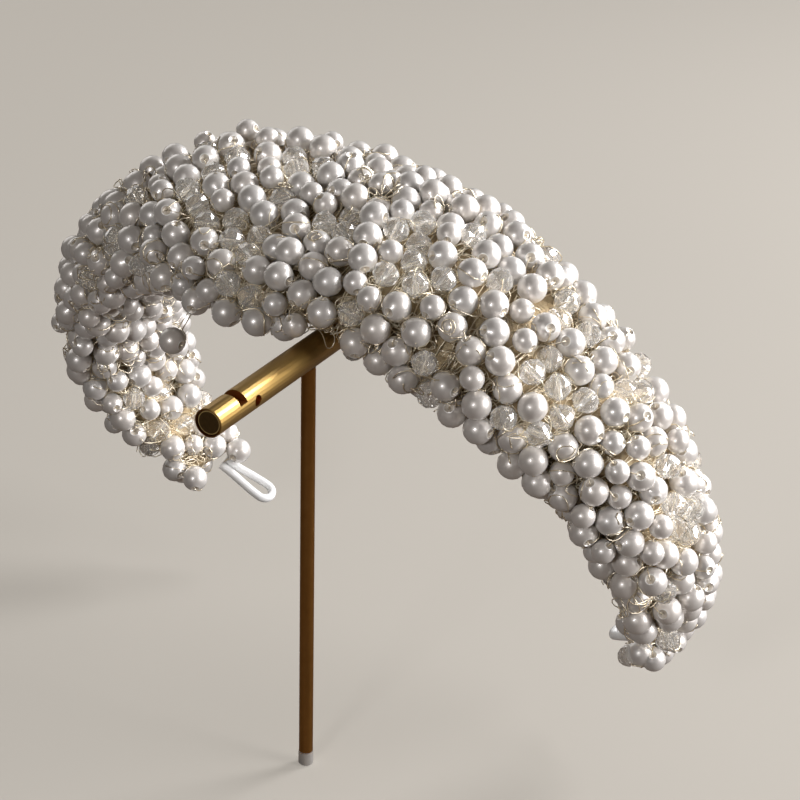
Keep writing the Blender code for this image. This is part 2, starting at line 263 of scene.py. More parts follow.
mainRows = {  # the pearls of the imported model
    "pearl": 6.0 * mm,
    "seed": 11,
    "first": 4.2 * mm,
    "step": 13.6 * mm,
    "pitch": 14.6 * mm,
    "jitter": 1.1 * mm,
    "samples": 96,
}

crownCrystals = {  # the crown's outer face, where the clear beads are mixed in
    "share": (-0.30, 0.50),
    "aroundDeg": (62.0, 158.0),
    "chance": (0.30, 0.15),  # left and right of the middle
    "patchChance": 0.6,
}

crownHeap = {  # the far left edge of the crown, where the beads are heaped higher
    "share": -0.15,
    "aroundDeg": 56.0,
    "shareReach": 0.13,
    "aroundReachDeg": 24.0,
    "rise": 2.4 * mm,
}

crystalPatches = {
    "columns": ("share", "aroundDeg", "reach"),
    "rows": (
        (-0.14, 114, 8.0),
        (-0.08, 127, 8.0),
        (0.01, 100, 10.0),
        (0.02, 143, 7.0),
        (0.01, 40, 8.0),
        (0.20, 97, 9.0),
        (0.26, 106, 9.0),
        (0.33, 176, 6.0),
        (0.40, 74, 8.0),
        (0.47, 146, 7.0),
        (0.49, 107, 8.0),
        (0.51, 59, 7.0),
        (-0.35, 60, 9.0),
        (-0.55, 270, 8.0),
        (-0.62, 90, 9.0),
        (0.70, 90, 6.0),
        (-0.91, 216, 7.0),
        (0.15, 270, 10.0),
        (0.62, 268, 8.0),
        (0.97, 200, 6.0),
    ),
}

loneBeads = {  # one that hangs below the front edge, and those at the two ends
    "columns": ("share", "aroundDeg", "depth", "size", "crystal"),
    "rows": (
        (-0.09, 206, -8.0, 5.6, 0),
        (-1.02, 308, -1.0, 6.0, 0),
        (-1.01, 215, 0.6, 6.0, 0),
        (-0.99, 118, 0.8, 5.6, 0),
        (0.97, 136, 1.0, 5.2, 0),
        (0.98, 190, 1.0, 5.2, 1),
        (0.92, 120, 2.0, 5.6, 1),
    ),
    "overlap": 0.35 * mm,  # other beads closer than this give way
}

tubeLine = {
    "height": 97.2 * mm,
    "half": 37.1 * mm,
    "radius": 3.0 * mm,
    "rodRadius": 1.5 * mm,
    "clear": 0.3 * mm,
}


def standClearance(points):
    # distance from the points to the nearer of the stand's tube and rod
    along = np.clip(points[:, 1], -tubeLine["half"], tubeLine["half"])
    zeros = np.zeros(len(points))
    onTube = np.stack((zeros, along, zeros + tubeLine["height"]), axis=-1)
    toTube = np.linalg.norm(points - onTube, axis=-1) - tubeLine["radius"]
    onRod = np.stack((zeros, zeros, np.clip(points[:, 2], 0.0, tubeLine["height"])), axis=-1)
    toRod = np.linalg.norm(points - onRod, axis=-1) - tubeLine["rodRadius"]
    return np.minimum(toTube, toRod)


def mainPearls():
    random = np.random.default_rng(mainRows["seed"])
    depth = mainRows["pearl"] / 2
    last = band["halfArch"] - depth
    rows = int((last - mainRows["first"]) / mainRows["step"]) + 1
    angles = np.linspace(0.0, 2 * np.pi, mainRows["samples"] + 1)
    found = []
    for sign in (-1, 1):
        for row in range(rows):
            along = sign * (mainRows["first"] + (last - mainRows["first"]) * row / (rows - 1))
            ring = bandPoint(along, angles, depth)
            steps = np.linalg.norm(np.diff(ring, axis=0), axis=-1)
            lengths = np.concatenate(([0.0], np.cumsum(steps)))
            count = max(3, round(lengths[-1] / mainRows["pitch"]))
            for i in range(count):
                shift, across = random.uniform(-mainRows["jitter"], mainRows["jitter"], 2)
                place = (lengths[-1] * (i + 0.5 * (row % 2)) / count + across) % lengths[-1]
                spot = along if row == 0 else along + shift
                found.append((spot, np.interp(place, lengths, angles), depth))
    found = np.array(found)
    clear = standClearance(bandPoint(*found.T)) > mainRows["pearl"] / 2 + tubeLine["clear"]
    return found[clear]


def wantedSpacing(along):
    blend = np.clip(shareOf(along) / beads["armsFrom"], 0.0, 1.0) ** 2
    return beads["crownSpacing"] * (1 - blend) + beads["armSpacing"] * blend


def pushedApart(along, around, depths, wish, held, step):
    # one round of beads pushing those nearer than the wish; also says how far each goes outward
    places = bandPoint(along, around, depths)
    alongWay, aroundWay, outward = bandAxes(along, around, depths)
    apart = places[:, None] - places[None]
    distance = np.linalg.norm(apart, axis=-1) + np.eye(len(places))
    push = np.clip(wish - distance, 0.0, None) / distance * (1 - np.eye(len(places)))
    move = step * (apart * push[..., None]).sum(axis=1)
    move[held] = 0.0
    along = along + (move * alongWay).sum(-1) / (alongWay**2).sum(-1)
    around = around + (move * aroundWay).sum(-1) / (aroundWay**2).sum(-1)
    return along, around, (move * outward).sum(-1)


def topBeads(random, main):
    # draws spots by area, then lets them push each other to even distances
    depth = beads["large"] / 2
    end = band["halfArch"] + beads["settleEnd"]
    columns, rows = beads["grid"]
    spots = np.meshgrid(np.linspace(-end, end, columns), np.linspace(0, 2 * np.pi, rows + 1)[:-1])
    along, around = (values.ravel() for values in spots)
    alongWay, aroundWay, _ = bandAxes(along, around, np.full(len(along), depth))
    cell = (2 * end / (columns - 1)) * (2 * np.pi / rows)
    area = np.linalg.norm(np.cross(alongWay, aroundWay), axis=-1) * cell
    wanted = area / (beads["rowHeight"] * wantedSpacing(along) ** 2)
    count = int(round(wanted.sum())) - len(main)
    picks = random.choice(len(along), count, p=wanted / wanted.sum())
    shifts = random.uniform(0, beads["spotShift"], count)
    along = np.concatenate((main[:, 0], along[picks]))
    around = np.concatenate((main[:, 1], around[picks] + shifts))
    depths = np.full(len(along), depth)
    held = slice(len(main))
    for _ in range(beads["settleRounds"]):
        wish = wantedSpacing((along[:, None] + along[None]) / 2) * beads["settleReach"]
        along, around, _ = pushedApart(along, around, depths, wish, held, beads["settleStep"])
        along = np.clip(along, -end, end)
    return along, around


def partBeads(along, around, depths, radii, fixed, highest, deepest):
    # pushes touching beads apart, sideways and a little outward or inward
    end = band["halfArch"] + beads["partEnd"]
    wish = radii[:, None] + radii[None] + beads["gap"]
    for _ in range(beads["partRounds"]):
        along, around, rise = pushedApart(along, around, depths, wish, fixed, beads["partStep"])
        depths = np.clip(depths - rise, highest, deepest)
        along = np.clip(along, -end, end)
    return along, around, depths


def crystalChance(along, around, places):
    chance = np.full(len(places), beads["strayCrystals"])
    share = along / band["halfArch"]
    aroundDeg = np.degrees(around) % 360.0
    crown = (share > crownCrystals["share"][0]) & (share < crownCrystals["share"][1])
    crown &= aroundDeg > crownCrystals["aroundDeg"][0]
    crown &= aroundDeg < crownCrystals["aroundDeg"][1]
    chance[crown] = np.where(share[crown] < 0, *crownCrystals["chance"])
    for share, aroundDeg, reach in crystalPatches["rows"]:
        middle = bandPoint(share * band["halfArch"], math.radians(aroundDeg), beads["crystal"] / 2)
        near = np.linalg.norm(places - middle, axis=-1) < reach * mm
        chance[near] = crownCrystals["patchChance"]
    return chance


def heapRise(along, around):
    share = along / band["halfArch"] - crownHeap["share"]
    turn = (np.degrees(around) - crownHeap["aroundDeg"] + 180.0) % 360.0 - 180.0
    near = (share / crownHeap["shareReach"]) ** 2 + (turn / crownHeap["aroundReachDeg"]) ** 2
    return crownHeap["rise"] * np.exp(-near)


def beadLayer(along, around, depth, radius, crystal):
    return {
        "along": along,
        "around": around,
        "depth": depth,
        "radius": radius,
        "crystal": crystal,
        "place": bandPoint(along, around, depth),
    }


def picked(layer, choice):
    return {name: values[choice] for name, values in layer.items()}


def joined(first, second):
    return {name: np.concatenate((first[name], second[name])) for name in first}


def topLayer(random):
    main = mainPearls()
    along, around = topBeads(random, main)
    count = len(along)
    fixed = np.arange(count) < len(main)
    sizes = np.where(random.random(count) < beads["smallShare"], beads["small"], beads["large"])
    places = bandPoint(along, around, np.full(count, beads["large"] / 2))
    crystal = random.random(count) < crystalChance(along, around, places)
    crystal[fixed] = False
    sizes = np.where(crystal, beads["crystal"], sizes)
    sizes[fixed] = mainRows["pearl"]
    radii = sizes / 2
    rise = heapRise(along, around) * ~fixed
    highest, deepest = (
        radii + np.where(crystal, ofCrystal, ofPearl) * ~fixed - rise
        for ofCrystal, ofPearl in zip(beads["crystalDepth"], beads["pearlDepth"])
    )
    depths = highest + (deepest - highest) * random.random(count)
    along, around, depths = partBeads(along, around, depths, radii, fixed, highest, deepest)
    return beadLayer(along, around, depths, radii, crystal), fixed


def loneLayer():
    share, aroundDeg, depth, size, crystal = np.array(loneBeads["rows"]).T
    along = share * band["halfArch"]
    return beadLayer(along, np.radians(aroundDeg), depth * mm, size * mm / 2, crystal > 0)


def lowerLayer(random, above):
    # beads in the gaps, a little deeper, each only where it clears all that are there
    tries = beads["fillTries"]
    along = random.uniform(-band["halfArch"], band["halfArch"], tries)
    around = random.uniform(0, 2 * np.pi, tries)
    crystal = random.random(tries) < beads["lowerCrystals"]
    small = random.random(tries) < beads["lowerSmallShare"]
    radii = np.where(crystal, beads["crystal"], np.where(small, beads["small"], beads["large"])) / 2
    depths = radii + random.uniform(*beads["lowerDepth"], tries)
    layer = beadLayer(along, around, depths, radii, crystal)
    places, taken = above["place"], above["radius"]
    kept = []
    for i, (place, radius) in enumerate(zip(layer["place"], radii)):
        reach = taken + radius + beads["gap"] - beads["lowerOverlap"]
        if np.all(np.linalg.norm(places - place, axis=-1) > reach):
            kept.append(i)
            places = np.vstack((places, place))
            taken = np.append(taken, radius)
    return picked(layer, kept)


def layBeads():
    random = np.random.default_rng(beads["seed"])
    top, fixed = topLayer(random)
    lone = loneLayer()
    apart = np.linalg.norm(top["place"][:, None] - lone["place"][None], axis=-1)
    reach = top["radius"][:, None] + lone["radius"][None] - loneBeads["overlap"]
    upper = joined(picked(top, np.all(apart > reach, axis=1) | fixed), lone)
    every = joined(upper, lowerLayer(random, upper))
    return picked(every, standClearance(every["place"]) > every["radius"] + tubeLine["clear"])


def beadAxes():
    # the drilled hole of each bead lies mostly along the band's surface, tipped by its wire
    random = np.random.default_rng(beads["seed"] + 1)
    count = len(laid["along"])
    alongWay, _, outward = bandAxes(laid["along"], laid["around"], laid["depth"])
    first = unit(alongWay)
    second = unit(np.cross(outward, first))
    turn = random.uniform(0, 2 * np.pi, count)[:, None]
    tip = np.radians(random.normal(0.0, beads["holeTipDeg"], count))[:, None]
    flat = first * np.cos(turn) + second * np.sin(turn)
    axes = flat * np.cos(tip) + outward * np.sin(tip)
    wild = random.random(count) < beads["wildShare"]
    axes[wild] = unit(random.normal(size=(count, 3)))[wild]
    return axes


laid = layBeads()
laid["axis"] = beadAxes()
halves = (("left", -1, laid["along"] < 0), ("right", 1, laid["along"] >= 0))
print("beads laid:", len(laid["along"]), "of them crystals", int(laid["crystal"].sum()))


# Meshes from arrays

def arrayMesh(name, points, faceGroups, smooth=True):
    # faceGroups holds one array of corner numbers for each number of sides
    mesh = bpy.data.meshes.new(name)
    mesh.vertices.add(len(points))
    mesh.vertices.foreach_set("co", points.astype(np.float32).ravel())
    corners = np.concatenate([group.ravel() for group in faceGroups]).astype(np.int32)
    sides = np.concatenate([np.full(len(group), group.shape[1]) for group in faceGroups])
    starts = np.concatenate(([0], np.cumsum(sides)[:-1])).astype(np.int32)
    mesh.loops.add(len(corners))
    mesh.loops.foreach_set("vertex_index", corners)
    mesh.polygons.add(len(sides))
    mesh.polygons.foreach_set("loop_start", starts)
    mesh.update(calc_edges=True)
    mesh.validate()
    if smooth:
        mesh.shade_smooth()
    else:
        mesh.shade_flat()
    return mesh


def addPiece(name, data, material):
    piece = addObject(name, data)
    data.materials.append(material)
    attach(piece, "root")
    return piece


def mirrored(upper, middle=()):
    # rings from one pole to the other, in rows that begin with a radius and a height
    return [*upper, *middle, *((radius, -height, last) for radius, height, last in upper[::-1])]


def ringPoints(rings, sides):
    # each ring is a radius, a height and a turn in steps
    points = []
    for radius, height, turn in rings:
        for i in range(sides):
            angle = 2 * math.pi * (i + turn) / sides
            points.append((radius * math.cos(angle), radius * math.sin(angle), height))
    return np.array(points)


def turnedFaces(rings, sides, closed):
    # quads between rings of points; closed joins the last ring to the first
    count = rings if closed else rings - 1
    ring = np.arange(count)[:, None] * sides
    following = ((np.arange(count) + 1) % rings)[:, None] * sides
    here = np.arange(sides)[None]
    after = (here + 1) % sides
    faces = np.stack((ring + here, ring + after, following + after, following + here), axis=-1)
    return faces.reshape(-1, 4)


def sideOf(ways, steep):
    # a direction across each way, taken from Z, or from X where the way is steeper than this
    helper = np.where(np.abs(ways[:, 2:3]) < steep, [[0.0, 0.0, 1.0]], [[1.0, 0.0, 0.0]])
    return unit(np.cross(helper, ways))


def beadCopies(template, faceGroups, chosen, spins):
    # one joined mesh of a template about its Z axis, turned and sized as each chosen bead
    axes, places, sizes = (laid[name][chosen] for name in ("axis", "place", "radius"))
    side = sideOf(axes, 0.9)
    other = np.cross(axes, side)
    cos, sin = np.cos(spins[chosen])[:, None], np.sin(spins[chosen])[:, None]
    xWay, yWay = side * cos + other * sin, other * cos - side * sin
    turned = (
        template[None, :, 0:1] * xWay[:, None]
        + template[None, :, 1:2] * yWay[:, None]
        + template[None, :, 2:3] * axes[:, None]
    )
    points = turned * sizes[:, None, None] + places[:, None]
    offsets = (np.arange(len(places)) * len(template))[:, None, None]
    groups = [(group[None] + offsets).reshape(-1, group.shape[1]) for group in faceGroups]
    return points.reshape(-1, 3), groups


def storeValues(mesh, name, values):
    store = mesh.attributes.new(name, "FLOAT", "POINT")
    store.data.foreach_set("value", values.astype(np.float32))


# Shared shader groups and materials

grain = {
    "finer": 5.3,  # scale of the fine noise in scales of the broad one
    "fineShare": 0.35,  # of the fine noise in the height
    "limits": (0.3, 0.7),  # that nearly all of the noise lies between
}


def addVectorMath(nodes, links, operation, first, second=None):
    # second may be a socket, plain numbers or nothing
    node = nodes.new("ShaderNodeVectorMath")
    node.operation = operation
    links.new(first, node.inputs[0])
    if hasattr(second, "links"):
        links.new(second, node.inputs[1])
    elif second:
        node.inputs[1].default_value = second
    return node


def unevennessGroup():
    # broad and fine unevenness in the object's own space
    group = bpy.data.node_groups.new("unevenness", "ShaderNodeTree")
    sockets = group.interface
    for name, value in (("Scale", 400.0), ("Stretch", 1.0), ("Detail", 3.0)):
        socket = sockets.new_socket(name, in_out="INPUT", socket_type="NodeSocketFloat")
        socket.default_value = value
    for name in ("Broad", "Fine", "Height"):
        sockets.new_socket(name, in_out="OUTPUT", socket_type="NodeSocketFloat")
    nodes, links = group.nodes, group.links
    given = nodes.new("NodeGroupInput")
    result = nodes.new("NodeGroupOutput")
    where = nodes.new("ShaderNodeTexCoord").outputs["Object"]
    stretch = nodes.new("ShaderNodeCombineXYZ")
    stretch.inputs["X"].default_value = 1.0
    stretch.inputs["Z"].default_value = 1.0
    links.new(given.outputs["Stretch"], stretch.inputs["Y"])
    scaled = addVectorMath(nodes, links, "MULTIPLY", where, stretch.outputs["Vector"])
    finer = nodes.new("ShaderNodeMath")
    finer.operation = "MULTIPLY"
    finer.inputs[1].default_value = grain["finer"]
    links.new(given.outputs["Scale"], finer.inputs[0])
    both = nodes.new("ShaderNodeMix")
    both.inputs["Factor"].default_value = grain["fineShare"]
    for name, scale, side in (
        ("Broad", given.outputs["Scale"], "A"),
        ("Fine", finer.outputs["Value"], "B"),
    ):
        noise = nodes.new("ShaderNodeTexNoise")
        links.new(scaled.outputs["Vector"], noise.inputs["Vector"])
        links.new(scale, noise.inputs["Scale"])
        links.new(given.outputs["Detail"], noise.inputs["Detail"])
        links.new(noise.outputs["Fac"], both.inputs[side])
        links.new(noise.outputs["Fac"], result.inputs[name])
    links.new(both.outputs["Result"], result.inputs["Height"])
    return group


unevenness = unevennessGroup()


def treeOf(material):
    nodes = material.node_tree.nodes
    return nodes, material.node_tree.links, nodes["Principled BSDF"]


def setValues(shader, values):
    for name, value in values.items():
        shader.inputs[name].default_value = value


def addAttribute(nodes, name):
    node = nodes.new("ShaderNodeAttribute")
    node.attribute_name = name
    return node.outputs["Fac"]


def addMapRange(nodes, links, value, limits, ends):
    spread = nodes.new("ShaderNodeMapRange")
    for name, number in zip(("From Min", "From Max", "To Min", "To Max"), (*limits, *ends)):
        spread.inputs[name].default_value = number
    links.new(value, spread.inputs["Value"])
    return spread.outputs["Result"]


def addMix(nodes, links, factor, first, second):
    # a colour mix; either colour may be a socket or a plain colour
    mix = nodes.new("ShaderNodeMix")
    mix.data_type = "RGBA"
    links.new(factor, mix.inputs["Factor"])
    for socket, colour in ((mix.inputs[6], first), (mix.inputs[7], second)):
        if hasattr(colour, "links"):
            links.new(colour, socket)
        else:
            socket.default_value = (*colour, 1.0)
    return mix.outputs[2]


def newMaterial(name, look):
    # a Principled material whose tones, roughness and bump, where the look has them, follow the
    # unevenness; values holds what is set plainly
    material = bpy.data.materials.new(name)
    material.use_nodes = True
    nodes, links, shader = treeOf(material)
    setValues(shader, look["values"])
    uneven = nodes.new("ShaderNodeGroup")
    uneven.node_tree = unevenness
    uneven.inputs["Scale"].default_value = look["scale"]
    uneven.inputs["Stretch"].default_value = look.get("stretch", 1.0)
    uneven.inputs["Detail"].default_value = look.get("detail", 3.0)
    if "tones" in look:
        tone = addMix(nodes, links, uneven.outputs["Broad"], *look["tones"])
        links.new(tone, shader.inputs["Base Color"])
    if "roughness" in look:
        by, *ends = look["roughness"]
        rough = addMapRange(nodes, links, uneven.outputs[by], grain["limits"], ends)
        links.new(rough, shader.inputs["Roughness"])
    if "bump" in look:
        by, strength, distance = look["bump"]
        bump = nodes.new("ShaderNodeBump")
        bump.inputs["Strength"].default_value = strength
        bump.inputs["Distance"].default_value = distance
        links.new(uneven.outputs[by], bump.inputs["Height"])
        links.new(bump.outputs["Normal"], shader.inputs["Normal"])
    return material


# Pearls

pearls = {
    "sides": 16,
    "profile": (  # radius, height and part of one half, from inside the drilled hole outward
        (0.065, 0.55, "floor"),
        (0.065, 0.85, "floor"),
        (0.270, 0.868, "floor"),
        (0.302, 0.900, "floor"),
        (0.322, 0.962, "rim"),
        (0.360, 0.968, "rim"),
        (0.405, 0.915, "skin"),
    ),
    "polarDeg": (34.0, 45.0, 56.0, 67.0, 79.0),
    "largeFrom": 0.45,  # radius in widths of a large pearl
    "tones": (0.5, 0.28),  # middle and spread, from the cool tone at 0 to the warm one at 1
    "coolTone": (0.61, 0.58, 0.555),
    "warmTone": (0.71, 0.655, 0.605),
    # painted sheen: the light tone that each bead's colour turns to towards its outline
    "edge": (0.97, 0.95, 0.92),
    "edgeSheenBlend": 0.42,
    "floorColour": (0.78, 0.72, 0.64),  # the matt floor of the recess round each hole
    # painted highlight: the light colour laid on the raised rim round each hole
    "rimHighlight": (0.95, 0.93, 0.90),
    "look": {
        "scale": 900.0,
        "roughness": ("Broad", 0.37, 0.47),
        "bump": ("Height", 0.12, 0.08 * mm),
        "values": {
            "Metallic": 0.42,
            "Coat Weight": 0.7,
            "Coat Roughness": 0.10,
            "Coat IOR": 1.6,
        },
    },
}


def pearlTemplate():
    upper = list(pearls["profile"])
    for polar in map(math.radians, pearls["polarDeg"]):
        upper.append((math.sin(polar), math.cos(polar), "skin"))
    profile = mirrored(upper, [(1.0, 0.0, "skin")])
    sides = pearls["sides"]
    points = ringPoints([(radius, height, 0.0) for radius, height, _ in profile], sides)
    parts = np.repeat([part for _, _, part in profile], sides)
    faces = turnedFaces(len(profile), sides, closed=True)[:, ::-1]
    return points, faces, parts == "floor", parts == "rim"


def pearlMaterial():
    material = newMaterial("pearl", pearls["look"])
    nodes, links, shader = treeOf(material)
    # painted sheen: the colour goes over to the light edge tone as the surface turns away from the
    # view
    facing = nodes.new("ShaderNodeLayerWeight")
    facing.inputs["Blend"].default_value = pearls["edgeSheenBlend"]
    colour = pearls["coolTone"]
    for factor, over in (
        (addAttribute(nodes, "beadTone"), "warmTone"),
        (facing.outputs["Facing"], "edge"),
        # painted highlight on the raised rim round each hole
        (addAttribute(nodes, "onRim"), "rimHighlight"),
        (addAttribute(nodes, "inRecess"), "floorColour"),
    ):
        colour = addMix(nodes, links, factor, colour, pearls[over])
    links.new(colour, shader.inputs["Base Color"])
    return material


def addPearls():
    template, faces, floor, rim = pearlTemplate()
    material = pearlMaterial()
    random = np.random.default_rng(beads["seed"] + 2)
    spins = random.uniform(0, 2 * np.pi, len(laid["along"]))
    tones = random.normal(*pearls["tones"], len(laid["along"])).clip(0, 1)
    large = laid["radius"] > pearls["largeFrom"] * beads["large"]
    for size, sized in (("large", large), ("small", ~large)):
        for side, _, onSide in halves:
            chosen = sized & onSide & ~laid["crystal"]
            count = int(chosen.sum())
            mesh = arrayMesh(f"{size}Pearls_{side}", *beadCopies(template, [faces], chosen, spins))
            storeValues(mesh, "beadTone", np.repeat(tones[chosen], len(template)))
            storeValues(mesh, "inRecess", np.tile(floor, count))
            storeValues(mesh, "onRim", np.tile(rim, count))
            piece = addPiece(f"{size}_pearls_{side}", mesh, material)
            if size == "large":
                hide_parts(f"pearl_field_{side}")
            print(piece.name, count, "beads")


addPearls()


# Faceted clear beads

crystals = {
    "sides": 10,
    "rings": (  # radius, height, and half a step of turn or none, from the drilled hole outward
        (0.15, 0.90, 0.0),
        (0.40, 0.88, 0.0),
        (0.80, 0.49, 0.5),
        (0.975, 0.22, 0.0),
    ),
    "lightThrough": 0.85,  # share of the light that passes on to what lies behind
    "look": {
        "scale": 700.0,
        "roughness": ("Broad", 0.0, 0.04),
        "bump": ("Broad", 0.05, 0.05 * mm),
        "values": {
            "Base Color": (1.0, 0.975, 0.93, 1.0),
            "Transmission Weight": 0.82,
            "IOR": 1.56,
            "Coat Weight": 1.0,
            "Coat Roughness": 0.02,
            "Coat IOR": 1.8,
        },
    },
}


def crystalTemplate():
    sides = crystals["sides"]
    profile = mirrored(crystals["rings"])
    quads, triangles = [], []
    for ring, (_, _, here) in enumerate(profile):
        following = (ring + 1) % len(profile)
        after = profile[following][2]
        for i in range(sides):
            j = (i + 1) % sides
            a, b = ring * sides + i, ring * sides + j
            c, d = following * sides + i, following * sides + j
            if here == after:
                quads.append((a, c, d, b))
            elif here < after:
                triangles += [(a, c, b), (b, c, d)]
            else:
                triangles += [(a, c, d), (a, d, b)]
    return ringPoints(profile, sides), [np.array(quads), np.array(triangles)]


def crystalMaterial():
    material = newMaterial("crystal", crystals["look"])
    nodes, links, shader = treeOf(material)
    path = nodes.new("ShaderNodeLightPath")
    passing = nodes.new("ShaderNodeMath")
    passing.operation = "MULTIPLY"
    passing.inputs[1].default_value = crystals["lightThrough"]
    links.new(path.outputs["Is Shadow Ray"], passing.inputs[0])
    clear = nodes.new("ShaderNodeBsdfTransparent")
    both = nodes.new("ShaderNodeMixShader")
    links.new(passing.outputs["Value"], both.inputs["Fac"])
    links.new(shader.outputs["BSDF"], both.inputs[1])
    links.new(clear.outputs["BSDF"], both.inputs[2])
    links.new(both.outputs["Shader"], nodes["Material Output"].inputs["Surface"])
    return material


def addCrystals():
    template, faceGroups = crystalTemplate()
    material = crystalMaterial()
    random = np.random.default_rng(beads["seed"] + 3)
    spins = random.uniform(0, 2 * np.pi, len(laid["along"]))
    for side, _, onSide in halves:
        chosen = onSide & laid["crystal"]
        points, groups = beadCopies(template, faceGroups, chosen, spins)
        mesh = arrayMesh(f"crystals_{side}", points, groups, smooth=False)
        piece = addPiece(f"crystals_{side}", mesh, material)
        print(piece.name, int(chosen.sum()), "beads")


addCrystals()


# Wire

wires = {
    "radius": 0.13 * mm,
    "sides": 4,
    "clear": 0.15 * mm,  # of the wire's middle line from a bead's surface
    "slack": 0.12 * mm,  # the most that a bead's wire stands off beyond that
    "startsAt": 0.75,  # in the hole, in radii of the bead
    "bends": (0.16, 0.34, 0.52, 0.7, 0.88),  # shares of the turn from the hole to the band
    "lift": (0.9 * mm, 2.0 * mm),  # of a bead's wire over the bead, where it stands off
    "liftShare": 0.3,
    "rootDepth": 7.2 * mm,
    "rootSpread": 0.5 * mm,
    "rootStep": 0.2 * mm,
    "pushedAtOnce": 2000,
    "pushRounds": 4,
    "tangleSeed": 5,
    "tangle": 1000,  # loose lengths on each side
    "tanglePoints": 15,
    "tangleStep": 0.95 * mm,
    "tangleEnd": 1.0 * mm,  # past the half arch
    "narrowing": 0.64,  # of the band's girth from the crown to its ends
    "curl": (0.2, 0.75),  # turn in radians at each step
    "waver": 0.25,
    "layers": ((0.55, 5.5 * mm), (0.90, 3.6 * mm), (1.0, 1.4 * mm)),  # share up to, and depth
    "swing": (0.6, 1.9),  # up and down from the layer, in mm
    "swingTurn": 0.75,
    "leastDepth": 0.4 * mm,
    "look": {
        "scale": 260.0,
        "tones": ((0.83, 0.69, 0.44), (0.95, 0.895, 0.80)),
        "roughness": ("Fine", 0.25, 0.4),
        "values": {"Metallic": 0.85},
    },
}


def pushOut(points, owners=None):
    # moves wire points out of the beads that they run into; a wire's own bead doesn't push it
    shape = points.shape
    flat = points.reshape(-1, 3).copy()
    owner = None if owners is None else np.repeat(owners, shape[1])
    reach = laid["radius"] + wires["clear"]
    for start in range(0, len(flat), wires["pushedAtOnce"]):
        few = slice(start, start + wires["pushedAtOnce"])
        part = flat[few]
        for _ in range(wires["pushRounds"]):
            away = part[:, None] - laid["place"][None]
            distance = np.linalg.norm(away, axis=-1)
            inside = reach[None] - distance
            if owner is not None:
                inside[np.arange(len(part)), owner[few]] = -1.0
            worst = inside.argmax(axis=1)
            rows = np.arange(len(part))
            amount = np.clip(inside[rows, worst], 0.0, None)
            part += away[rows, worst] / distance[rows, worst][:, None] * amount[:, None]
    return flat.reshape(shape)


def wireTubes(name, routes, radius=wires["radius"], sides=wires["sides"]):
    # one joined mesh of round wires; routes is wires by points by 3
    forward = unit(np.gradient(routes, axis=1))
    side = sideOf(forward[:, 0], 0.8)
    sideways = np.empty_like(routes)
    for i in range(routes.shape[1]):
        side = unit(side - forward[:, i] * (side * forward[:, i]).sum(-1, keepdims=True))
        sideways[:, i] = side
    upward = np.cross(forward, sideways)
    angles = 2 * np.pi * np.arange(sides) / sides
    rings = routes[:, :, None] + radius * (
        sideways[:, :, None] * np.cos(angles)[:, None] + upward[:, :, None] * np.sin(angles)[:, None]
    )
    count, stations = routes.shape[:2]
    perWire = stations * sides
    offsets = (np.arange(count) * perWire)[:, None, None]
    faces = (turnedFaces(stations, sides, closed=False)[None] + offsets).reshape(-1, 4)
    first = np.arange(sides)[None][:, ::-1] + offsets[:, 0]
    last = np.arange(sides)[None] + offsets[:, 0] + perWire - sides
    return arrayMesh(name, rings.reshape(-1, 3), [faces, np.concatenate((first, last))])


def beadWires():
    # each bead's wire comes out of both mouths of its hole, round the bead and into the band
    random = np.random.default_rng(beads["seed"] + 4)
    place, radius, axis = laid["place"], laid["radius"][:, None], laid["axis"]
    root = bandPoint(laid["along"], laid["around"], wires["rootDepth"])
    root = root + random.normal(0, wires["rootSpread"], root.shape)
    inward = unit(root - place)
    ways = []
    for sign in (1.0, -1.0):
        pole = axis * sign
        across = unit(inward - pole * (inward * pole).sum(-1, keepdims=True))
        ending = np.arccos(np.clip((inward * pole).sum(-1, keepdims=True), -1, 1))
        way = [place + pole * radius * wires["startsAt"], place + pole * (radius + wires["slack"])]
        lift = random.uniform(*wires["lift"], radius.shape)
        lift = lift * (random.random(radius.shape) < wires["liftShare"])
        for share in wires["bends"]:
            angle = ending * share
            reach = radius + wires["clear"] + wires["slack"] * random.random(radius.shape)
            reach = reach + lift * math.sin(math.pi * share)
            way.append(place + reach * (pole * np.cos(angle) + across * np.sin(angle)))
        way.append(root + wires["rootStep"] * pole)
        ways.append(way)
    routes = np.stack(ways[0][::-1] + ways[1], axis=1)
    return pushOut(routes, np.arange(len(place)))


def tangleWires(sign, random):
    # loose lengths that wander over the band between the beads
    count, step, narrowing = wires["tangle"], wires["tangleStep"], wires["narrowing"]
    drawn = random.uniform(0.0, 1.0, count)
    share = (1 - np.sqrt(1 - 4 * (narrowing / 2) * (1 - narrowing / 2) * drawn)) / narrowing
    along = sign * band["halfArch"] * share
    around = random.uniform(0, 2 * np.pi, count)
    direction = random.uniform(0, 2 * np.pi, count)
    bend = random.choice((-1, 1), count) * random.uniform(*wires["curl"], count)
    limits, depths = np.array(wires["layers"]).T
    middle = depths[np.searchsorted(limits, random.random(count))]
    swing = random.uniform(*wires["swing"], count) * mm
    phase = random.uniform(0, 2 * np.pi, count)
    end = band["halfArch"] + wires["tangleEnd"]
    route = []
    for i in range(wires["tanglePoints"]):
        depth = middle + swing * np.sin(phase + wires["swingTurn"] * i)
        depth = np.maximum(depth, wires["leastDepth"])
        route.append(bandPoint(along, around, depth))
        alongWay, aroundWay, _ = bandAxes(along, around, depth)
        along = along + step * np.cos(direction) / np.linalg.norm(alongWay, axis=-1)
        around = around + step * np.sin(direction) / np.linalg.norm(aroundWay, axis=-1)
        along = np.clip(along, -end, end)
        direction = direction + bend + random.normal(0, wires["waver"], count)
    routes = pushOut(np.stack(route, axis=1))
    routes[:, 1:-1] = 0.25 * routes[:, :-2] + 0.5 * routes[:, 1:-1] + 0.25 * routes[:, 2:]
    return pushOut(routes)


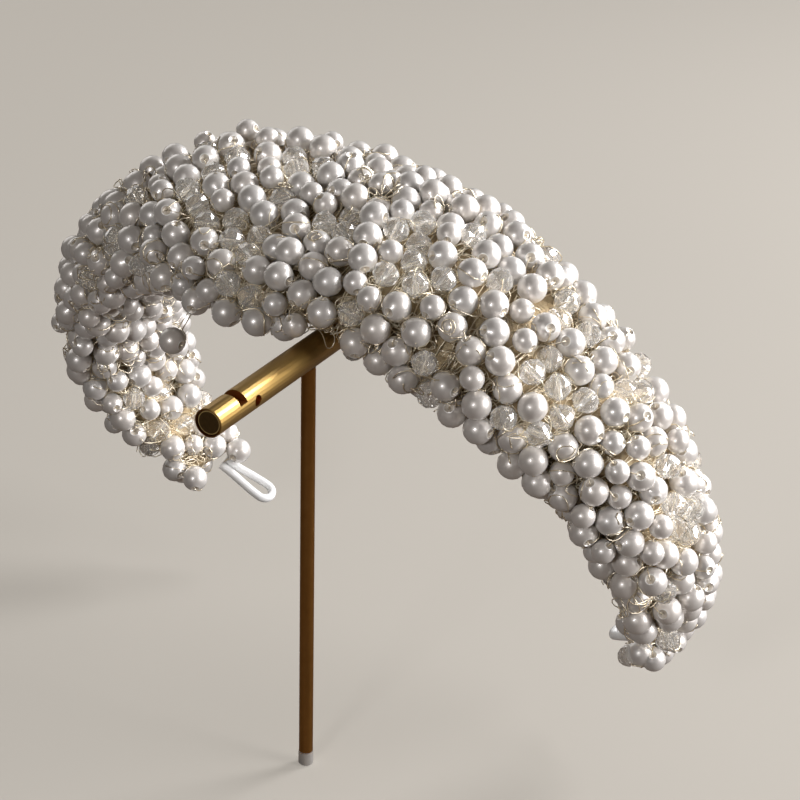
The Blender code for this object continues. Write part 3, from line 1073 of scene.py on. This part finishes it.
def addWires(material):
    routes = beadWires()
    random = np.random.default_rng(wires["tangleSeed"])
    for side, sign, onSide in halves:
        mesh = wireTubes(f"beadWires_{side}", routes[onSide])
        addPiece(f"bead_wires_{side}", mesh, material)
        mesh = wireTubes(f"tangle_{side}", tangleWires(sign, random))
        addPiece(f"wire_tangle_{side}", mesh, material)
        print("wires on the", side)


wireFinish = newMaterial("champagneWire", wires["look"])
addWires(wireFinish)


# The wound core

core = {
    "depth": (5.9 * mm, 7.2 * mm),
    "reach": 133.0 * mm,
    "wraps": 6,  # long wires wound over each half of the core, crossing each other
    "turns": (14, 26),
    "points": 500,
    "knots": 60,  # between which a wire's place and depth change evenly
    "wander": 3.4 * mm,
    "seed": 3,
    "look": {
        "scale": 900.0,
        "detail": 5.0,
        # the core's own golden colour, darkened to a painted shade for the deep gaps between the
        # beads
        "tones": ((0.26, 0.175, 0.075), (0.52, 0.425, 0.28)),
        "roughness": ("Fine", 0.35, 0.6),
        "bump": ("Height", 0.9, 0.5 * mm),
        "values": {"Metallic": 0.55},
    },
}


def wrapRoutes(sign):
    random = np.random.default_rng(core["seed"] + sign)
    count = core["wraps"]
    share = np.linspace(0.0, 1.0, core["points"])
    knots = np.linspace(0.0, 1.0, core["knots"])

    def drifting(draw, *limits):
        return np.array([
            np.interp(share, knots, draw(*limits, len(knots)))
            for _ in range(count)
        ])

    turns = random.integers(*core["turns"], count) * random.choice((-1, 1), count)
    around = random.uniform(0, 2 * np.pi, count)[:, None] + 2 * np.pi * turns[:, None] * share
    wander = drifting(random.normal, 0, core["wander"])
    deep = drifting(random.uniform, *core["depth"])
    return bandPoint(sign * core["reach"] * share + wander, around, deep)


def dressNode(name, material):
    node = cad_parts[name]
    node.data.materials.clear()
    node.data.materials.append(material)


def addCoreWinding():
    dressNode("band_core", newMaterial("woundCore", core["look"]))
    for side, sign, _ in halves:
        mesh = wireTubes(f"winding_{side}", wrapRoutes(sign))
        addPiece(f"core_winding_{side}", mesh, wireFinish)


addCoreWinding()
print("core wound")


# End loops

endLoops = {
    "cord": 2.0 * mm,
    "length": 14.2 * mm,
    "tip": 2.1 * mm,  # radius of the round tip, to the cord's middle line
    "foot": 1.05 * mm,
    "back": 3.0 * mm,  # behind the middle of the band's end
    "leanDeg": {-1: 17.0, 1: 38.0},
    "swingDeg": 9.0,
    "netDepth": 3.6 * mm,
    "netEnd": 2.2 * mm,
    "netCap": 3.4 * mm,
    "gap": 0.3 * mm,
    "tipPoints": 25,
    "legPoints": 12,
    "sides": 14,
    "look": {
        "scale": 1500.0,
        "detail": 5.0,
        "tones": ((0.78, 0.78, 0.77), (0.90, 0.90, 0.89)),
        "bump": ("Fine", 0.35, 0.1 * mm),
        "values": {
            "Roughness": 0.42,
            "Sheen Weight": 0.35,
            "Sheen Roughness": 0.3,
            "Coat Weight": 0.25,
            "Coat Roughness": 0.3,
        },
    },
}


def loopRoute(sign):
    widest = archColumn("halfWidth", 1.0) * mm
    depth = endLoops["netDepth"]
    netHalf = widest - depth * (1.0 - math.exp(-widest / depth))
    fall = endLoops["netCap"] * (1.0 - math.sqrt(1.0 - (endLoops["back"] / netHalf) ** 2))
    end = sign * (band["halfArch"] + band["endCap"] - endLoops["netEnd"] - fall)
    middle = np.array((
        np.interp(end, middleAlong, middleX),
        band["setBack"] * shareOf(end) ** 2,
        np.interp(end, middleAlong, middleZ),
    ))
    back = np.array((0.0, 1.0, 0.0))
    lean = math.radians(endLoops["leanDeg"][sign])
    swing = math.radians(endLoops["swingDeg"])
    angle = heading(end) + sign * lean
    forward = np.array((math.cos(angle), 0.0, -math.sin(angle))) * (sign * math.cos(swing))
    forward = forward + back * math.sin(swing)
    side = unit(back - forward * (back @ forward))
    clear = (endLoops["gap"] + endLoops["cord"] / 2 * math.sin(lean)) / math.cos(lean)
    # the legs open out like a needle's eye up to the tip's half circle
    tip, foot = endLoops["tip"], endLoops["foot"]
    reach = endLoops["length"] - tip
    bends = np.linspace(-np.pi / 2, np.pi / 2, endLoops["tipPoints"])
    bow = np.stack((reach + tip * np.cos(bends), tip * np.sin(bends)), axis=-1)
    steps = np.arange(endLoops["legPoints"]) / endLoops["legPoints"]
    opening = (3.0 - 2.0 * steps) * steps**2
    leg = np.stack((reach * steps, -foot - (tip - foot) * opening), axis=-1)
    out, across = np.concatenate((leg, bow, leg[::-1] * (1.0, -1.0))).T
    start = middle + back * endLoops["back"] + forward * clear
    route = start + forward * out[:, None] + side * across[:, None]
    return seated(route)[None]


def addEndLoops():
    material = newMaterial("satinCord", endLoops["look"])
    for side, sign, _ in halves:
        mesh = wireTubes(f"loop_{side}", loopRoute(sign), endLoops["cord"] / 2, endLoops["sides"])
        piece = addPiece(f"loop_cord_{side}", mesh, material)
        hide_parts(f"end_loop_{side}")


addEndLoops()
print("loops added")


# Stand

metal = {
    "scale": 500.0,
    "detail": 4.0,
    "bump": ("Fine", 0.15, 0.03 * mm),
}

stand = {
    "tube": metal | {
        "stretch": 0.04,
        "tones": ((0.43, 0.265, 0.07), (0.56, 0.365, 0.12)),
        "roughness": ("Fine", 0.36, 0.46),
        "values": {"Metallic": 1.0, "Coat Weight": 0.4, "Coat Roughness": 0.35},
    },
    "inside": (0.36, 0.145, 0.035),  # painted shade: a darker reddish brass laid in the slot, the hole and the ends
    "insideShadeFrom": (2.80 * mm, 2.88 * mm),  # from the tube's middle line
    "rod": metal | {
        "tones": ((0.50, 0.24, 0.06), (0.62, 0.315, 0.09)),
        "roughness": ("Fine", 0.30, 0.38),
        "values": {"Metallic": 1.0},
    },
    "tip": metal | {
        "tones": ((0.80, 0.78, 0.74), (0.86, 0.84, 0.80)),
        "roughness": ("Fine", 0.30, 0.36),
        "values": {"Metallic": 0.7},
    },
    "plug": {
        "scale": 1200.0,
        "tones": ((0.032, 0.017, 0.005), (0.065, 0.036, 0.011)),
        "bump": ("Height", 0.4, 0.1 * mm),
        "values": {"Roughness": 0.5, "Specular IOR Level": 0.12},
    },
    # painted highlight: a lighter brass ring near the plug's edge
    "plugRimHighlight": (0.42, 0.29, 0.11),
    "plugRimHighlightFrom": (2.22 * mm, 2.27 * mm),
}


def tubeDistanceGroup():
    # how far each point is from the tube's middle line
    group = bpy.data.node_groups.new("tubeDistance", "ShaderNodeTree")
    group.interface.new_socket("Distance", in_out="OUTPUT", socket_type="NodeSocketFloat")
    nodes, links = group.nodes, group.links
    result = nodes.new("NodeGroupOutput")
    where = nodes.new("ShaderNodeTexCoord").outputs["Object"]
    lowered = addVectorMath(nodes, links, "SUBTRACT", where, (0.0, 0.0, tubeLine["height"]))
    across = addVectorMath(nodes, links, "MULTIPLY", lowered.outputs["Vector"], (1.0, 0.0, 1.0))
    length = addVectorMath(nodes, links, "LENGTH", across.outputs["Vector"])
    links.new(length.outputs["Value"], result.inputs["Distance"])
    return group


tubeDistance = tubeDistanceGroup()


def recolour(material, colour, limits, ends):
    # lays a colour over the material's own, by the distance from the tube's middle line
    nodes, links, shader = treeOf(material)
    base = shader.inputs["Base Color"]
    own = base.links[0].from_socket
    distance = nodes.new("ShaderNodeGroup")
    distance.node_tree = tubeDistance
    mask = addMapRange(nodes, links, distance.outputs["Distance"], limits, ends)
    links.new(addMix(nodes, links, mask, own, colour), base)


def dressStand():
    tube = newMaterial("tubeBrass", stand["tube"])
    # painted shade in the slot, the hole and the ends, inside the tube's outer skin
    recolour(tube, stand["inside"], stand["insideShadeFrom"], (1.0, 0.0))
    plug = newMaterial("darkPlug", stand["plug"])
    # painted highlight on a ring near the plug's edge
    recolour(plug, stand["plugRimHighlight"], stand["plugRimHighlightFrom"], (0.0, 1.0))
    dressNode("stand_tube", tube)
    dressNode("stand_rod", newMaterial("rodBrass", stand["rod"]))
    dressNode("rod_tip", newMaterial("tipSilver", stand["tip"]))
    dressNode("tube_plug_front", plug)
    dressNode("tube_plug_back", plug)


dressStand()
print("stand dressed")


# Floor and light

studio = {
    "floor": (0.22, 0.205, 0.185),
    "floorHalf": 3.0,
    "floorGlow": (0.30, 0.28, 0.25),  # the light box under it, only as the camera sees it
    "floorThrown": (0.09, 0.07, 0.055),  # what the object sees of it, as with a dark card
    "floorValues": {"Emission Strength": 1.0, "Roughness": 0.9, "Specular IOR Level": 0.0},
    "noGlow": (0.0, 0.0, 0.0),
    "air": (0.061, 0.049, 0.036),
    "columns": ("name", "azimuthDeg", "elevationDeg", "distance", "size", "watts", "colour"),
    "lights": (
        ("key", 150, 30, 0.80, 0.34, 7.4, (0.985, 0.985, 1.0)),
        ("right", 106, 17, 0.80, 0.50, 7.9, (0.99, 0.985, 1.0)),
        ("front", 4, 24, 0.80, 0.16, 1.9, (0.985, 0.985, 1.0)),
        ("left", 240, 20, 0.80, 0.60, 1.1, (1.0, 0.98, 0.96)),
    ),
    "lookAt": (0.0, 25 * mm, 75 * mm),
}


def linkSeen(nodes, links, thrown, seen, socket):
    # gives a socket one colour as the camera sees it and another for all other rays
    path = nodes.new("ShaderNodeLightPath")
    links.new(addMix(nodes, links, path.outputs["Is Camera Ray"], thrown, seen), socket)


def addFloor():
    mesh = bpy.data.meshes.new("floor")
    half = studio["floorHalf"]
    corners = [(-half, -half, 0), (half, -half, 0), (half, half, 0), (-half, half, 0)]
    mesh.from_pydata(corners, [], [(0, 1, 2, 3)])
    floor = addObject("floor", mesh)
    material = bpy.data.materials.new("floor")
    material.use_nodes = True
    nodes, links, shader = treeOf(material)
    linkSeen(nodes, links, studio["floorThrown"], studio["floor"], shader.inputs["Base Color"])
    linkSeen(nodes, links, studio["noGlow"], studio["floorGlow"], shader.inputs["Emission Color"])
    setValues(shader, studio["floorValues"])
    mesh.materials.append(material)


def addLights():
    target = Vector(studio["lookAt"])
    for name, azimuthDeg, elevationDeg, distance, size, watts, colour in studio["lights"]:
        way = wayFrom(azimuthDeg, elevationDeg)
        data = bpy.data.lights.new(name, "AREA")
        data.shape = "DISK"
        data.size = size
        data.energy = watts
        data.color = colour
        lamp = addObject(name, data)
        lamp.location = target + way * distance
        lamp.rotation_mode = "QUATERNION"
        lamp.rotation_quaternion = way.to_track_quat("Z", "Y")
    world = bpy.data.worlds.new("studio")
    bpy.context.scene.world = world
    world.use_nodes = True
    bpy.context.scene.view_settings.view_transform = "Standard"
    nodes, links = world.node_tree.nodes, world.node_tree.links
    background = nodes["Background"]
    linkSeen(nodes, links, studio["air"], studio["floorGlow"], background.inputs["Color"])
    background.inputs["Strength"].default_value = 1.0


addFloor()
addLights()
print("studio lit")

triangles = {
    piece.name: sum(len(face.vertices) - 2 for face in piece.data.polygons)
    for piece in bpy.data.objects if piece.type == "MESH"
}
print("triangles", triangles, sum(triangles.values()))
